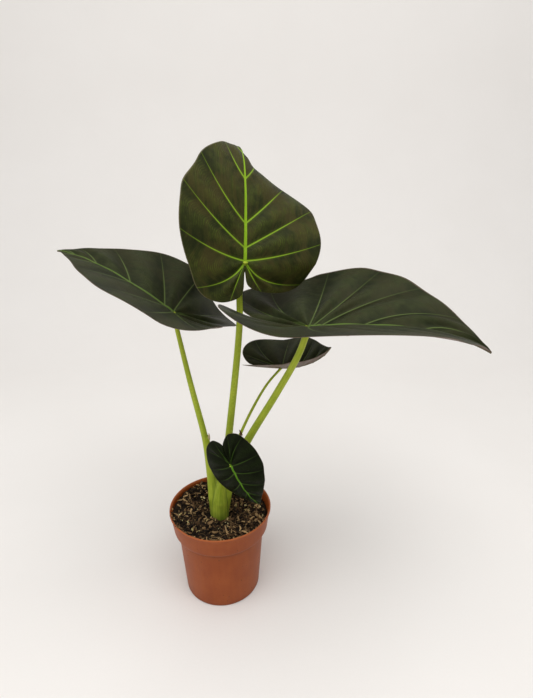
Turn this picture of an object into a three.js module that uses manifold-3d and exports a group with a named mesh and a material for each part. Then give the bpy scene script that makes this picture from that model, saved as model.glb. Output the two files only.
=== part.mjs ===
// A young alocasia with five heart-shaped leaves, growing in a round plastic nursery pot.
// Millimetres, +Z up. The origin is the centre of the pot's underside. The plant is seen from
// its front when looking along +Y, with +X to the right.

import * as THREE from 'three';
import { mergeVertices } from 'three/addons/utils/BufferGeometryUtils.js';
import Module from 'manifold-3d';

const wasm = await Module();
wasm.setup();

// ---------------------------------------------------------------- pot
const POT_HEIGHT = 112;
const POT_RIM_RADIUS = 60; // outside of the rolled lip
const POT_BASE_RADIUS = 45;
const POT_WALL = 1.4;
const POT_FLOOR = 2;
const COLLAR_HEIGHT = 26; // band below the rim
const COLLAR_FLARE = 3; // the collar's lower edge is this much inside its upper edge
const COLLAR_STEP = 5; // the collar's lower edge stands out this far from the body
const STEP_DROP = 3; // the slope under the collar's lower edge is this high
const LIP_HEIGHT = 2.6;
const LIP_REACH = 1.2; // how far the lip stands out from the collar
const LIP_BEVEL = 0.6;
const FOOT_BEVEL = 0.8;
const POT_SEGMENTS = 48; // shared by the soil, which follows the wall facet by facet

const DRAIN_HOLES = 8;
const DRAIN_HOLE_RADIUS = 4;
const DRAIN_HOLE_INSET = 10; // from the inside of the wall to the middle of a hole
const FOOT_ARCHES = 6;
const FOOT_ARCH_WIDTH = 22;
const FOOT_ARCH_HEIGHT = 1.2; // less than the floor's thickness
const ARCH_TO_HOLE = 2; // floor left between an arch and the circle of holes

// ---------------------------------------------------------------- potting soil
const SOIL_BELOW_RIM = 11; // at the wall
const SOIL_DISH = 3; // the middle, watered down round the stalks, lies this much lower
const SOIL_CLEARANCE = 0.3;

// ---------------------------------------------------------------- plant
const CLEARANCE = 0.3; // between plant parts that touch
const CORM_RADIUS = 12;
const CORM_HEIGHT = 22;
const SHEATH_DEPTH = 16; // the leaf bases reach this far down into the soil
const SHEATH_BULGE = 25; // the sheaths are widest at this height above the soil
const FOOT_WAIST = 0.55; // share of a sheath's extra width that is lost again at the soil
const WING_RADIUS = 3.4; // the free edge of a sheath, low down and at its tip
const WING_TIP_RADIUS = 0.9;
const BLADE_THICKNESS = 1.3;
const BLADE_HEADROOM = 20; // clears the end of a petiole above its blade
const RIB_WIDTH = 5; // half width over which the blade eases across its midrib

const HALF_STEPS = 20; // points along each half of a blade's outline
const BLADE_RINGS = 5;
const PETIOLE_SIDES = 12;
const PETIOLE_STEPS = 16;
const RIB_STEPS = 24;

// Heights in the plant are measured up from the soil's crown, where the leaf bases come out.
// Each leaf has:
//   attach    where the petiole meets the blade
//   heading, pitch, roll   the way the blade points from there, in degrees
//   length    from the attachment to the tip, along the midrib
//   sinus     from the attachment back to the notch between the lobes
//   bend, hook   how far the midrib turns upwards (or down, when negative) to the tip, evenly
//             along its length and close to the tip, in degrees
//   lift      how far the lobes' end turns up, in degrees
//   left, right   each half as seen from above with the tip ahead: lobe length, width, where the
//             widest place is as a share of the length, fold up from the midrib with its change
//             towards the lobes and towards the tip, and the curl across the half, in degrees
//   petiole   centre line between the base and the attachment, and radii
const LEAVES = {
  upright: {
    attach: [33.5, 12, 305], heading: 85, pitch: 73, roll: 19,
    length: 142, sinus: 10, bend: -12, hook: -78, lift: 0,
    left: { lobe: 42, width: 73, widest: 0.35, fold: 23, foldLobe: 0, foldTip: -8, curl: 6 },
    right: { lobe: 31, width: 84, widest: 0.32, fold: -3, foldLobe: -20, foldTip: -69, curl: -2 },
    base: [0.5, 2], path: [[2.5, 2, 30], [13, 3, 112], [26.8, 10.8, 239], [27.5, 18, 284]],
    topRadius: 3.2, kneeRadius: 4.2, baseRadius: 5, sheathTop: 100,
    color: '#4d5a26',
  },
  left: {
    attach: [-40, 2, 255], heading: 170.8, pitch: 36.5, roll: 1.1,
    length: 132.8, sinus: 14, bend: -13, hook: -16.5, lift: 48,
    left: { lobe: 60.5, width: 67.7, widest: 0.27, fold: 11.7, foldLobe: 5, foldTip: -18.9, curl: -1.6 },
    right: { lobe: 61.5, width: 70.4, widest: 0.14, fold: 20.8, foldLobe: -40.5, foldTip: -6.9, curl: 7.5 },
    base: [-5.5, 0], path: [[-6.2, -0.5, 28], [-9.5, -0.5, 70], [-13.7, 0, 105], [-27, 1, 176]],
    wing: [[-4.5, -3, 40], [-10.2, -1.5, 111]],
    topRadius: 2.3, kneeRadius: 3.7, baseRadius: 7.6, sheathTop: 108,
    color: '#2f3b27',
  },
  right: {
    attach: [98, -6, 242], heading: -15, pitch: 9.7, roll: 1.2,
    length: 177.7, sinus: 22, bend: -18.1, hook: -20.5, lift: 45,
    left: { lobe: 88.8, width: 90.1, widest: 0.26, fold: 10.3, foldLobe: -11.1, foldTip: 15, curl: 23.7 },
    right: { lobe: 93.7, width: 89.9, widest: 0.58, fold: 13.8, foldLobe: 3.9, foldTip: 8, curl: -1.3 },
    base: [3, -0.5], path: [[6.4, -1, 28], [15, -1, 66], [36.5, -1.5, 110], [66, -3, 165], [88, -5, 210]],
    wing: [[6, -3.5, 40], [26.8, -2.5, 117]],
    topRadius: 3.4, kneeRadius: 4.3, baseRadius: 7.4, sheathTop: 112,
    color: '#37402f',
  },
  back: {
    attach: [71.9, 48, 172], heading: -2, pitch: -2, roll: 12,
    length: 67, sinus: 23, bend: 55, hook: 16, lift: 6,
    left: { lobe: 47, width: 52, widest: 0.37, fold: 9, foldLobe: 12, foldTip: 3, curl: -3 },
    right: { lobe: 45, width: 46, widest: 0.13, fold: 36, foldLobe: -4, foldTip: 4, curl: 12 },
    base: [3.5, 8.5], path: [[5, 11, 30], [15, 17, 73], [32, 28, 114], [55, 41, 153]],
    topRadius: 1.5, kneeRadius: 2, baseRadius: 4.2, sheathTop: 80,
    color: '#333d2c',
  },
  front: {
    attach: [17.5, -42, 100], heading: 317, pitch: -56, roll: 60,
    length: 65, sinus: 22, bend: -50, hook: -8, lift: -4,
    left: { lobe: 31, width: 33, widest: 0.12, fold: 2, foldLobe: 2, foldTip: -2, curl: -13 },
    right: { lobe: 31, width: 33, widest: 0.07, fold: -11, foldLobe: 4, foldTip: -9, curl: -24 },
    base: [0.3, -4], path: [[0.8, -4.8, 28], [4.5, -13, 60], [11, -28, 88]],
    topRadius: 1.8, kneeRadius: 2.4, baseRadius: 9.3, sheathTop: 58,
    color: '#1f2a1c',
  },
};

// ---------------------------------------------------------------- solids and meshes
function toSolid(geometry) {
  geometry.deleteAttribute('normal');
  geometry.deleteAttribute('uv');
  const merged = mergeVertices(geometry, 1e-4);
  const position = merged.attributes.position;
  const corners = [];
  const [a, b, c] = [new THREE.Vector3(), new THREE.Vector3(), new THREE.Vector3()];
  let volume = 0;
  for (let i = 0; i < merged.index.count; i += 3) {
    const triangle = [0, 1, 2].map((k) => merged.index.getX(i + k));
    if (new Set(triangle).size < 3) continue; // a triangle shrunk to nothing on a lathe's axis
    corners.push(...triangle);
    [a, b, c].forEach((point, k) => point.fromBufferAttribute(position, triangle[k]));
    volume += a.dot(b.cross(c)) / 6;
  }
  if (volume < 0) corners.reverse(); // the faces point outwards, whichever way the profile ran
  return new wasm.Manifold(new wasm.Mesh({
    numProp: 3,
    vertProperties: new Float32Array(position.array),
    triVerts: new Uint32Array(corners),
  }));
}

function toGeometry(solid) {
  const mesh = solid.getMesh();
  const geometry = new THREE.BufferGeometry();
  geometry.setAttribute('position', new THREE.BufferAttribute(new Float32Array(mesh.vertProperties), 3));
  geometry.setIndex(new THREE.BufferAttribute(new Uint32Array(mesh.triVerts), 1));
  geometry.computeVertexNormals();
  return geometry;
}

// A cut may leave loose slivers behind; the piece itself is the largest body.
function largestBody(solid) {
  return solid.decompose().reduce((best, body) => (body.volume() > best.volume() ? body : best));
}

function addMesh(group, name, solid, color, roughness, metalness = 0) {
  const material = new THREE.MeshStandardMaterial({ color, roughness, metalness });
  const mesh = new THREE.Mesh(toGeometry(solid), material);
  mesh.name = name;
  group.add(mesh);
}

// Turns a lathe or cylinder, which three.js makes about Y, so that its axis is Z.
const aboutZ = (geometry) => geometry.rotateX(Math.PI / 2);

function lathe(profile, segments) {
  const points = profile.map(([r, z]) => new THREE.Vector2(r, z));
  return toSolid(aboutZ(new THREE.LatheGeometry(points, segments)));
}

// ---------------------------------------------------------------- pot
const collarBottom = POT_HEIGHT - COLLAR_HEIGHT;
const collarTopRadius = POT_RIM_RADIUS - LIP_REACH;
const collarBottomRadius = collarTopRadius - COLLAR_FLARE;
const bodyTopRadius = collarBottomRadius - COLLAR_STEP;
const drainCircleRadius = POT_BASE_RADIUS - POT_WALL - DRAIN_HOLE_INSET;

const potOutside = [
  [0, 0],
  [POT_BASE_RADIUS - FOOT_BEVEL, 0],
  [POT_BASE_RADIUS, FOOT_BEVEL],
  [bodyTopRadius, collarBottom - STEP_DROP],
  [collarBottomRadius, collarBottom],
  [collarTopRadius, POT_HEIGHT - LIP_HEIGHT],
  [POT_RIM_RADIUS, POT_HEIGHT - LIP_HEIGHT],
  [POT_RIM_RADIUS, POT_HEIGHT - LIP_BEVEL],
  [POT_RIM_RADIUS - LIP_BEVEL, POT_HEIGHT],
];
const potInside = [
  [collarTopRadius - POT_WALL, POT_HEIGHT],
  [collarBottomRadius - POT_WALL, collarBottom + POT_WALL / 2],
  [bodyTopRadius - POT_WALL, collarBottom + POT_WALL / 2 - STEP_DROP],
  [POT_BASE_RADIUS - POT_WALL, POT_FLOOR],
  [0, POT_FLOOR],
];

function makePot() {
  let pot = lathe([...potOutside, ...potInside], POT_SEGMENTS);
  for (let i = 0; i < DRAIN_HOLES; i++) {
    const hole = new THREE.CylinderGeometry(DRAIN_HOLE_RADIUS, DRAIN_HOLE_RADIUS, 3 * POT_FLOOR, 12);
    const angle = (2 * Math.PI * i) / DRAIN_HOLES;
    aboutZ(hole).translate(drainCircleRadius * Math.cos(angle), drainCircleRadius * Math.sin(angle), 0);
    pot = pot.subtract(toSolid(hole));
  }
  // Shallow arches in the foot let water run out from under the pot. Each cuts a notch through
  // the wall's foot only, outside the circle of holes.
  const archInner = drainCircleRadius + DRAIN_HOLE_RADIUS + ARCH_TO_HOLE;
  const archDepth = POT_BASE_RADIUS + COLLAR_STEP - archInner;
  for (let i = 0; i < FOOT_ARCHES; i++) {
    const arch = new THREE.CylinderGeometry(1, 1, archDepth, 12, 1);
    arch.scale(FOOT_ARCH_WIDTH / 2, 1, FOOT_ARCH_HEIGHT);
    arch.translate(0, archInner + archDepth / 2, 0);
    arch.rotateZ((2 * Math.PI * (i + 0.5)) / FOOT_ARCHES);
    pot = pot.subtract(toSolid(arch));
  }
  return pot;
}

// Inside radius of the pot at a height, from the inner profile.
function potInsideRadius(z) {
  const rising = [...potInside].reverse().slice(1);
  for (let i = 1; i < rising.length; i++) {
    const [r0, z0] = rising[i - 1];
    const [r1, z1] = rising[i];
    if (z <= z1) return r0 + ((r1 - r0) * (z - z0)) / (z1 - z0);
  }
  return rising.at(-1)[0];
}

// ---------------------------------------------------------------- soil
const soilEdge = POT_HEIGHT - SOIL_BELOW_RIM;
const crown = soilEdge - SOIL_DISH;
const aboveCrown = ([x, y, z]) => new THREE.Vector3(x, y, z + crown);

function makeSoil() {
  const corners = potInside.slice(1, -1).filter(([, z]) => z < soilEdge).reverse();
  const wall = corners.map(([r, z]) => [r - SOIL_CLEARANCE, z]);
  const bottom = POT_FLOOR + SOIL_CLEARANCE;
  wall[0][1] = bottom;
  const edge = potInsideRadius(soilEdge) - SOIL_CLEARANCE;
  const top = [[edge, soilEdge], [edge * 0.7, soilEdge - SOIL_DISH * 0.5],
    [edge * 0.35, soilEdge - SOIL_DISH * 0.9], [0, crown]];
  return lathe([[0, bottom], ...wall, ...top], POT_SEGMENTS);
}

// ---------------------------------------------------------------- leaf blades
const rad = THREE.MathUtils.degToRad;

// Half of a heart-shaped outline, from the notch round the lobe to the tip: distance ahead of
// the attachment, and distance from the midrib.
function halfOutline(leaf, half) {
  const ahead = (share) => (half.widest + (1 - half.widest) * share) * leaf.length;
  const w = half.width;
  const points = [
    [-leaf.sinus, 0],
    [-0.8 * half.lobe, 0.05 * w],
    [-half.lobe, 0.32 * w],
    [-0.86 * half.lobe, 0.66 * w],
    [-0.4 * half.lobe + 0.25 * half.widest * leaf.length, 0.93 * w],
    [ahead(0), w],
    [ahead(0.3), 0.86 * w],
    [ahead(0.55), 0.58 * w],
    [ahead(0.78), 0.26 * w],
    [ahead(0.93), 0.07 * w],
    [leaf.length, 0],
  ].map(([u, v]) => new THREE.Vector3(u, v, 0));
  return new THREE.CatmullRomCurve3(points, false, 'centripetal').getPoints(HALF_STEPS);
}

// Follows a rib that turns as it goes: how far along and above its straight heading it gets.
function follow(reach, turn) {
  const step = reach / RIB_STEPS;
  let along = 0;
  let rise = 0;
  for (let i = 0; i < RIB_STEPS; i++) {
    const angle = turn((i + 0.5) * step);
    along += Math.cos(angle) * step;
    rise += Math.sin(angle) * step;
  }
  return { along, rise, angle: turn(reach) };
}

function bladeAxes(leaf) {
  const [yaw, pitch, roll] = [leaf.heading, leaf.pitch, leaf.roll].map(rad);
  const ahead = new THREE.Vector3(
    Math.cos(pitch) * Math.cos(yaw), Math.cos(pitch) * Math.sin(yaw), Math.sin(pitch));
  const side = new THREE.Vector3(-Math.sin(yaw), Math.cos(yaw), 0).applyAxisAngle(ahead, roll);
  return { ahead, side, up: new THREE.Vector3().crossVectors(ahead, side) };
}

// A point of the blade, `offset` above its middle surface. u is the distance ahead of the
// attachment along the midrib, v the distance from the midrib over the left half (sign 1) or
// the right half (sign -1).
function bladePoint(leaf, u, v, sign, offset) {
  const { ahead, side, up } = bladeAxes(leaf);
  const half = sign > 0 ? leaf.left : leaf.right;
  const lobe = Math.max(leaf.left.lobe, leaf.right.lobe);
  const front = Math.max(u, 0) / leaf.length;
  const behind = Math.max(-u, 0) / lobe;
  const forward = (s) => rad(leaf.bend) * (s / leaf.length) + rad(leaf.hook) * (s / leaf.length) ** 4;
  const backward = (s) => rad(leaf.lift) * (s / lobe);
  const rib = u >= 0 ? follow(u, forward) : follow(-u, backward);
  const direction = u >= 0 ? 1 : -1;
  const angle = direction * rib.angle;
  const ribUp = up.clone().multiplyScalar(Math.cos(angle)).addScaledVector(ahead, -Math.sin(angle));

  const fold = rad(half.fold + half.foldTip * front ** 2 + half.foldLobe * behind);
  const turned = rad(half.curl) * (v / half.width);
  const chord = v * (Math.abs(turned) < 1e-6 ? 1 : Math.sin(turned / 2) / (turned / 2));
  const slope = (fold + turned) * Math.min(1, v / RIB_WIDTH);
  return leaf.origin.clone()
    .addScaledVector(ahead, direction * rib.along)
    .addScaledVector(up, rib.rise)
    .addScaledVector(side, sign * (chord * Math.cos(fold + turned / 2) - offset * Math.sin(slope)))
    .addScaledVector(ribUp, chord * Math.sin(fold + turned / 2) + offset * Math.cos(slope));
}

// A round disc, its middle at the attachment, is laid out over the blade: each spoke of the disc
// goes to one point of the outline. `share` takes the inner part of the blade only, or, above 1,
// reaches past its margin.
function makeBlade(leaf, above, below, share = 1) {
  const rings = Array.from({ length: BLADE_RINGS }, (_, i) => (i + 1) / BLADE_RINGS);
  const profile = [[0, 0], ...rings.map((r) => [r, 0]), ...rings.map((r) => [r, 1]).reverse(), [0, 1]];
  const leftHalf = halfOutline(leaf, leaf.left);
  const rightHalf = halfOutline(leaf, leaf.right);
  const spokes = 2 * HALF_STEPS;
  const disc = new THREE.LatheGeometry(profile.map(([r, y]) => new THREE.Vector2(r, y)), spokes);
  const position = disc.attributes.position;
  for (let i = 0; i < position.count; i++) {
    const [x, y, z] = [position.getX(i), position.getY(i), position.getZ(i)];
    const radius = Math.hypot(x, z) * share;
    const spoke = Math.round((Math.atan2(x, z) / (2 * Math.PI)) * spokes + spokes) % spokes;
    const sign = spoke <= HALF_STEPS ? 1 : -1;
    const edge = sign > 0 ? leftHalf[spoke] : rightHalf[spokes - spoke];
    const point = bladePoint(leaf, edge.x * radius, Math.max(edge.y, 0) * radius, sign,
      y > 0.5 ? above : below);
    position.setXYZ(i, point.x, point.y, point.z);
  }
  return toSolid(disc);
}

// ---------------------------------------------------------------- petioles
// A round stalk along a curve: a unit cylinder whose rings are carried along it.
function makeStalk(curve, radiusAt) {
  const cylinder = new THREE.CylinderGeometry(1, 1, 1, PETIOLE_SIDES, PETIOLE_STEPS);
  const frames = curve.computeFrenetFrames(PETIOLE_STEPS, false);
  const position = cylinder.attributes.position;
  for (let i = 0; i < position.count; i++) {
    const [x, y, z] = [position.getX(i), position.getY(i), position.getZ(i)];
    const step = Math.round((y + 0.5) * PETIOLE_STEPS);
    const centre = curve.getPointAt(step / PETIOLE_STEPS);
    const radius = radiusAt(centre.z);
    centre.addScaledVector(frames.normals[step], -x * radius);
    centre.addScaledVector(frames.binormals[step], z * radius);
    position.setXYZ(i, centre.x, centre.y, centre.z);
  }
  return toSolid(cylinder);
}

// The petiole narrows evenly from its knee to the blade, and widens below the knee into the
// sheath that wraps the younger leaves. `grown` makes it thicker all round, to cut with.
function makePetiole(leaf, grown) {
  const baseZ = crown - SHEATH_DEPTH - 2 * grown;
  const last = aboveCrown(leaf.path.at(-1));
  const arrive = leaf.origin.clone().sub(last).normalize();
  const beyond = leaf.origin.clone().addScaledVector(arrive, 4 * leaf.topRadius);
  const points = [
    new THREE.Vector3(leaf.base[0], leaf.base[1], baseZ),
    new THREE.Vector3(leaf.base[0], leaf.base[1], crown),
    ...leaf.path.map(aboveCrown),
    leaf.origin.clone(),
    beyond,
  ];
  const knee = crown + leaf.sheathTop;
  const radiusAt = (z) => {
    const up = THREE.MathUtils.clamp((z - knee) / (leaf.origin.z - knee), 0, 1);
    const down = THREE.MathUtils.clamp((knee - z) / (leaf.sheathTop - SHEATH_BULGE), 0, 1);
    const foot = THREE.MathUtils.clamp((crown + SHEATH_BULGE - z) / SHEATH_BULGE, 0, 1);
    const stalk = THREE.MathUtils.lerp(leaf.kneeRadius, leaf.topRadius, up);
    const sheath = (leaf.baseRadius - leaf.kneeRadius) * (down - FOOT_WAIST * foot);
    return stalk + sheath + grown;
  };
  let petiole = makeStalk(new THREE.CatmullRomCurve3(points, false, 'centripetal'), radiusAt);
  if (leaf.wing) {
    const ends = leaf.wing.map(aboveCrown);
    const wing = makeStalk(new THREE.LineCurve3(...ends), (z) => {
      const t = THREE.MathUtils.clamp((z - ends[0].z) / (ends[1].z - ends[0].z), 0, 1);
      return THREE.MathUtils.lerp(WING_RADIUS, WING_TIP_RADIUS, t) + grown;
    });
    petiole = petiole.add(wing);
  }
  return petiole;
}

// The swollen stem, down in the soil, that all the leaf bases grow from.
function makeCorm(grown) {
  const radius = CORM_RADIUS + grown;
  const top = crown - SHEATH_DEPTH - CLEARANCE + grown;
  const bottom = crown - SHEATH_DEPTH - CORM_HEIGHT - grown;
  const height = top - bottom;
  return lathe([[0, bottom], [0.55 * radius, bottom], [0.92 * radius, bottom + 0.25 * height],
    [radius, bottom + 0.55 * height], [0.85 * radius, top], [0, top]], 24);
}

// ---------------------------------------------------------------- assembly
const plant = new THREE.Group();
const INNER_TO_OUTER = ['upright', 'left', 'right', 'back', 'front'];
for (const leaf of Object.values(LEAVES)) leaf.origin = aboveCrown(leaf.attach);

// Each leaf base wraps the younger ones inside it, so it is cut to fit round them.
const petioles = {};
const petioleSpaces = {};
for (const name of INNER_TO_OUTER) {
  const leaf = LEAVES[name];
  let petiole = makePetiole(leaf, 0);
  for (const space of Object.values(petioleSpaces)) petiole = petiole.subtract(space);
  const underside = -BLADE_THICKNESS - CLEARANCE;
  petiole = petiole.subtract(makeBlade(leaf, BLADE_HEADROOM, underside, 0.4));
  petiole = petiole.subtract(makeBlade(leaf, CLEARANCE, underside, 1.03));
  petioles[name] = largestBody(petiole);
  petioleSpaces[name] = makePetiole(leaf, CLEARANCE);
}

// A blade leaves room for the petioles of the other leaves that pass it.
const blades = {};
for (const name of INNER_TO_OUTER) {
  let blade = makeBlade(LEAVES[name], 0, -BLADE_THICKNESS);
  for (const other of INNER_TO_OUTER.filter((each) => each !== name)) {
    blade = blade.subtract(petioleSpaces[other]);
  }
  blades[name] = largestBody(blade);
}

let soil = makeSoil().subtract(makeCorm(CLEARANCE));
for (const space of Object.values(petioleSpaces)) soil = soil.subtract(space);

addMesh(plant, 'pot', makePot(), '#a85a38', 0.55);
addMesh(plant, 'potting_soil', largestBody(soil), '#33261b', 0.95);
addMesh(plant, 'corm', makeCorm(0), '#6f6a3a', 0.8);
for (const name of INNER_TO_OUTER) {
  addMesh(plant, `petiole_${name}`, petioles[name], '#9caf3a', 0.45);
  addMesh(plant, `blade_${name}`, blades[name], LEAVES[name].color, 0.5);
}

export default plant;
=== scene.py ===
# %% [markdown]
# # A potted alocasia, one piece at a time
# A young alocasia grows in a plain plastic nursery pot. The solid model says where each piece is
# and how large; this lesson gives each one the surface that the living plant, the soil and the
# moulded plastic have. Everything is in metres, with the pot's underside on the floor at z = 0.

# %% Load the frame
import math
import bpy
import bmesh
import numpy as np
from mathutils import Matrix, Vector, noise


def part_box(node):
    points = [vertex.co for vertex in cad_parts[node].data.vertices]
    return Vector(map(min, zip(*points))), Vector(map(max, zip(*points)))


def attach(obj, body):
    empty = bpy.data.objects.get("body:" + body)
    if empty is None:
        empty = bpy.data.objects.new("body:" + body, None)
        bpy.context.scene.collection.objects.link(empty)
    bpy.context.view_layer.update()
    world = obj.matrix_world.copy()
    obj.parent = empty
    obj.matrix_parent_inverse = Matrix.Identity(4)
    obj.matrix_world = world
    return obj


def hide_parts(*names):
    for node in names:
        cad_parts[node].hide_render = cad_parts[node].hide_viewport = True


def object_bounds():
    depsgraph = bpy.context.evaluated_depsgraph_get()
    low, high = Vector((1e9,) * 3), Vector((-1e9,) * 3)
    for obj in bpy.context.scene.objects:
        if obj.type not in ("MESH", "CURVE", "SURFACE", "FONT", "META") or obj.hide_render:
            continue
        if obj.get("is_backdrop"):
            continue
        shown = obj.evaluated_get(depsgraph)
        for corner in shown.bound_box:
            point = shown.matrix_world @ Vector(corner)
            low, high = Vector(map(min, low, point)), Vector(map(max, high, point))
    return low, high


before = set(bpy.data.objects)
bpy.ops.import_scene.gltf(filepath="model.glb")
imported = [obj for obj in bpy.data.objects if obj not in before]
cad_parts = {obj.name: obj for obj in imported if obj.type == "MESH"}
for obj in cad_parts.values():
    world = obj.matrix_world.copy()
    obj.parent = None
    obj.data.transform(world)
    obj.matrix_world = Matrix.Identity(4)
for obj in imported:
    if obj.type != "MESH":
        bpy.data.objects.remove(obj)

MM = 0.001
scene = bpy.context.scene
size_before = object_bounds()
CORM_DEPTH = 16.3   # from the soil's crown, where the leaf bases come out, down to the corm, in mm
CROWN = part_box("corm")[1][2] / MM + CORM_DEPTH
print("frame box", [[round(c, 4) for c in corner] for corner in size_before], "crown", round(CROWN, 1))

# %% [markdown]
# ## The viewpoint
# The plant is seen a little from above, from half a metre away, with a short lens like that of a
# phone, so that the pot narrows towards its foot and the near leaves look large.

# %% Camera
camera_data = bpy.data.cameras.new("camera")
camera_data.lens = 26
camera_data.sensor_width = 36
camera = bpy.data.objects.new("camera", camera_data)
camera.location = (0.055, -0.488, 0.510)
camera.rotation_euler = (math.radians(90 - 22), 0, 0)
scene.collection.objects.link(camera)
bpy.context.scene.camera = camera
print("camera at", [round(c, 3) for c in camera.location], "with a lens of", camera_data.lens, "mm")

# %% [markdown]
# ## One way to make a mesh
# Every piece below is written as points and faces. This short function turns them into an object,
# smooths its shading and stores one number per point for the finishes to read.

# %% Mesh helper
def make_piece(name, points, faces, material, values=None, smooth=True, slot=None, replaces=()):
    mesh = bpy.data.meshes.new(name)
    mesh.from_pydata((np.asarray(points) * MM).tolist(), [], faces)
    for key, column in (values or {}).items():
        data = mesh.attributes.new(key, "FLOAT", "POINT").data
        data.foreach_set("value", np.asarray(column, dtype=np.float32))
    mesh.polygons.foreach_set("use_smooth", [smooth] * len(mesh.polygons))
    piece = bpy.data.objects.new(name, mesh)
    scene.collection.objects.link(piece)
    piece.data.materials.append(material)
    if slot:
        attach(piece, "root")
    for node in replaces:
        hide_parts(node)
    return piece


def grid_faces(rows, columns, closed=False, flip=False):
    faces = []
    for i in range(rows - 1):
        for j in range(columns if closed else columns - 1):
            k = (j + 1) % columns
            quad = (i * columns + j, i * columns + k, (i + 1) * columns + k, (i + 1) * columns + j)
            faces.append(quad[::-1] if flip else quad)
    return faces

# %% [markdown]
# ## Writing a finish as a sum
# A finish mixes many small patterns: veins, mottling, dirt. Wired by hand, such a mix is hard to
# read and to change. So `Value` wraps one output of a node, and ordinary arithmetic on values adds
# the Math nodes. `step` turns a value into a soft-edged mask.

# %% Values that add nodes
class Value:
    def __init__(self, finish, socket):
        self.finish, self.socket = finish, socket

    def math(self, operation, *others, clamp=False):
        inputs = dict(enumerate((self,) + others))
        made = self.finish.node("ShaderNodeMath", {"operation": operation, "use_clamp": clamp}, inputs)
        return Value(self.finish, made.outputs[0])

    def __add__(self, other):
        return self.math("ADD", other)

    __radd__ = __add__

    def __sub__(self, other):
        return self.math("SUBTRACT", other)

    def __rsub__(self, other):
        return (self * -1).math("ADD", other)

    def __mul__(self, other):
        return self.math("MULTIPLY", other)

    __rmul__ = __mul__

    def __pow__(self, other):
        return self.math("POWER", other)

    def sine(self):
        return self.math("SINE")

    def clamped(self):
        return self.math("ADD", 0.0, clamp=True)

    def step(self, low, high):
        """0 below low, 1 above high, smooth between; falls instead where low is above high."""
        made = self.finish.node("ShaderNodeMapRange", {"interpolation_type": "SMOOTHSTEP"},
                                {"Value": self, "From Min": low, "From Max": high})
        return Value(self.finish, made.outputs["Result"])

# %% [markdown]
# ## A finish and its nodes
# A `Finish` is one material with one Principled shader. What is the same all over the surface is
# set on the shader's own sockets; what varies comes from patterns. Its `node` method adds any kind
# of node, given its settings and what feeds it, and the short methods after it name the patterns
# used most. Patterns are measured in millimetres on the piece, so they fit pieces of any size.

# %% Finish and patterns
class Finish:
    def __init__(self, name, **uniform):
        self.material = bpy.data.materials.new(name)
        self.material.use_nodes = True
        self.tree = self.material.node_tree
        self.shader = self.tree.nodes["Principled BSDF"]
        for key, setting in uniform.items():
            self.shader.inputs[key.replace("_", " ")].default_value = setting

    def node(self, kind, settings=None, inputs=None):
        made = self.tree.nodes.new(kind)
        for key, setting in (settings or {}).items():
            setattr(made, key, setting)
        for key, source in (inputs or {}).items():
            source = source.socket if isinstance(source, Value) else source
            if isinstance(source, bpy.types.NodeSocket):
                self.tree.links.new(source, made.inputs[key])
            else:
                made.inputs[key].default_value = source
        return made

    def stored(self, name):
        made = self.node("ShaderNodeAttribute", {"attribute_name": name})
        return Value(self, made.outputs["Fac"])

    def place(self, stretch=(1, 1, 1)):
        """Position in millimetres, squeezed or stretched along each axis."""
        where = self.node("ShaderNodeTexCoord").outputs["Object"]
        scale = tuple(1000 * s for s in stretch)
        made = self.node("ShaderNodeVectorMath", {"operation": "MULTIPLY"}, {0: where, 1: scale})
        return made.outputs[0]

    def vector(self, x=0.0, y=0.0, z=0.0):
        return self.node("ShaderNodeCombineXYZ", None, {"X": x, "Y": y, "Z": z}).outputs[0]

    def noise(self, size, detail=3, rough=0.5, at=None, warp=0.0):
        """Soft noise, 0 to 1, whose lumps are about `size` millimetres across."""
        made = self.node("ShaderNodeTexNoise", None, {
            "Vector": at or self.place(), "Scale": 1 / size, "Detail": detail,
            "Roughness": rough, "Distortion": warp})
        return Value(self, made.outputs["Fac"])

    def cells(self, size):
        """Distance to the nearest of many scattered points, in shares of `size`."""
        made = self.node("ShaderNodeTexVoronoi", None, {"Vector": self.place(), "Scale": 1 / size})
        return Value(self, made.outputs["Distance"])

    def mix(self, share, first, second):
        """The first colour where share is 0, the second where it is 1."""
        first, second = (c + (1,) if isinstance(c, tuple) else c for c in (first, second))
        made = self.node("ShaderNodeMix", {"data_type": "RGBA"}, {0: share, 6: first, 7: second})
        return made.outputs[2]

    def colour(self, socket):
        self.tree.links.new(socket, self.shader.inputs["Base Color"])

    def rough(self, value):
        self.tree.links.new(value.clamped().socket, self.shader.inputs["Roughness"])

    def bump(self, height, depth):
        """Raises the surface by up to `depth` millimetres where height is 1."""
        made = self.node("ShaderNodeBump", None, {"Height": height, "Distance": depth * MM})
        self.tree.links.new(made.outputs["Normal"], self.shader.inputs["Normal"])

# %% [markdown]
# ## A quiet studio
# The plant stands on a pale sweep, a floor that curves up into the wall behind, so that no corner
# shows. It is matte painted board with the faintest mottling.

# %% Floor and wall
board = Finish("painted_board", Roughness=0.9, Specular_IOR_Level=0.1)
tone = board.noise(180, detail=2) * 0.6 + board.noise(2.5, detail=4) * 0.4
board.colour(board.mix(tone, (0.79, 0.765, 0.74), (0.84, 0.82, 0.80)))
board.bump(board.noise(1.2, detail=3), 0.05)

sweep_turn, sweep_depth = 700, 1300
side_view = [(-2600, 0)]
for a in np.linspace(0, math.pi / 2, 24):
    side_view.append((sweep_depth - sweep_turn + sweep_turn * math.sin(a),
                      sweep_turn - sweep_turn * math.cos(a)))
side_view.append((sweep_depth, 3200))
across = np.linspace(-3000, 3000, 9)
points = [(x, y, z) for y, z in side_view for x in across]
sweep = make_piece("studio_sweep", points, grid_faces(len(side_view), len(across)), board.material)
sweep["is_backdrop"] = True
print("sweep", len(points), "points")

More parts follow.
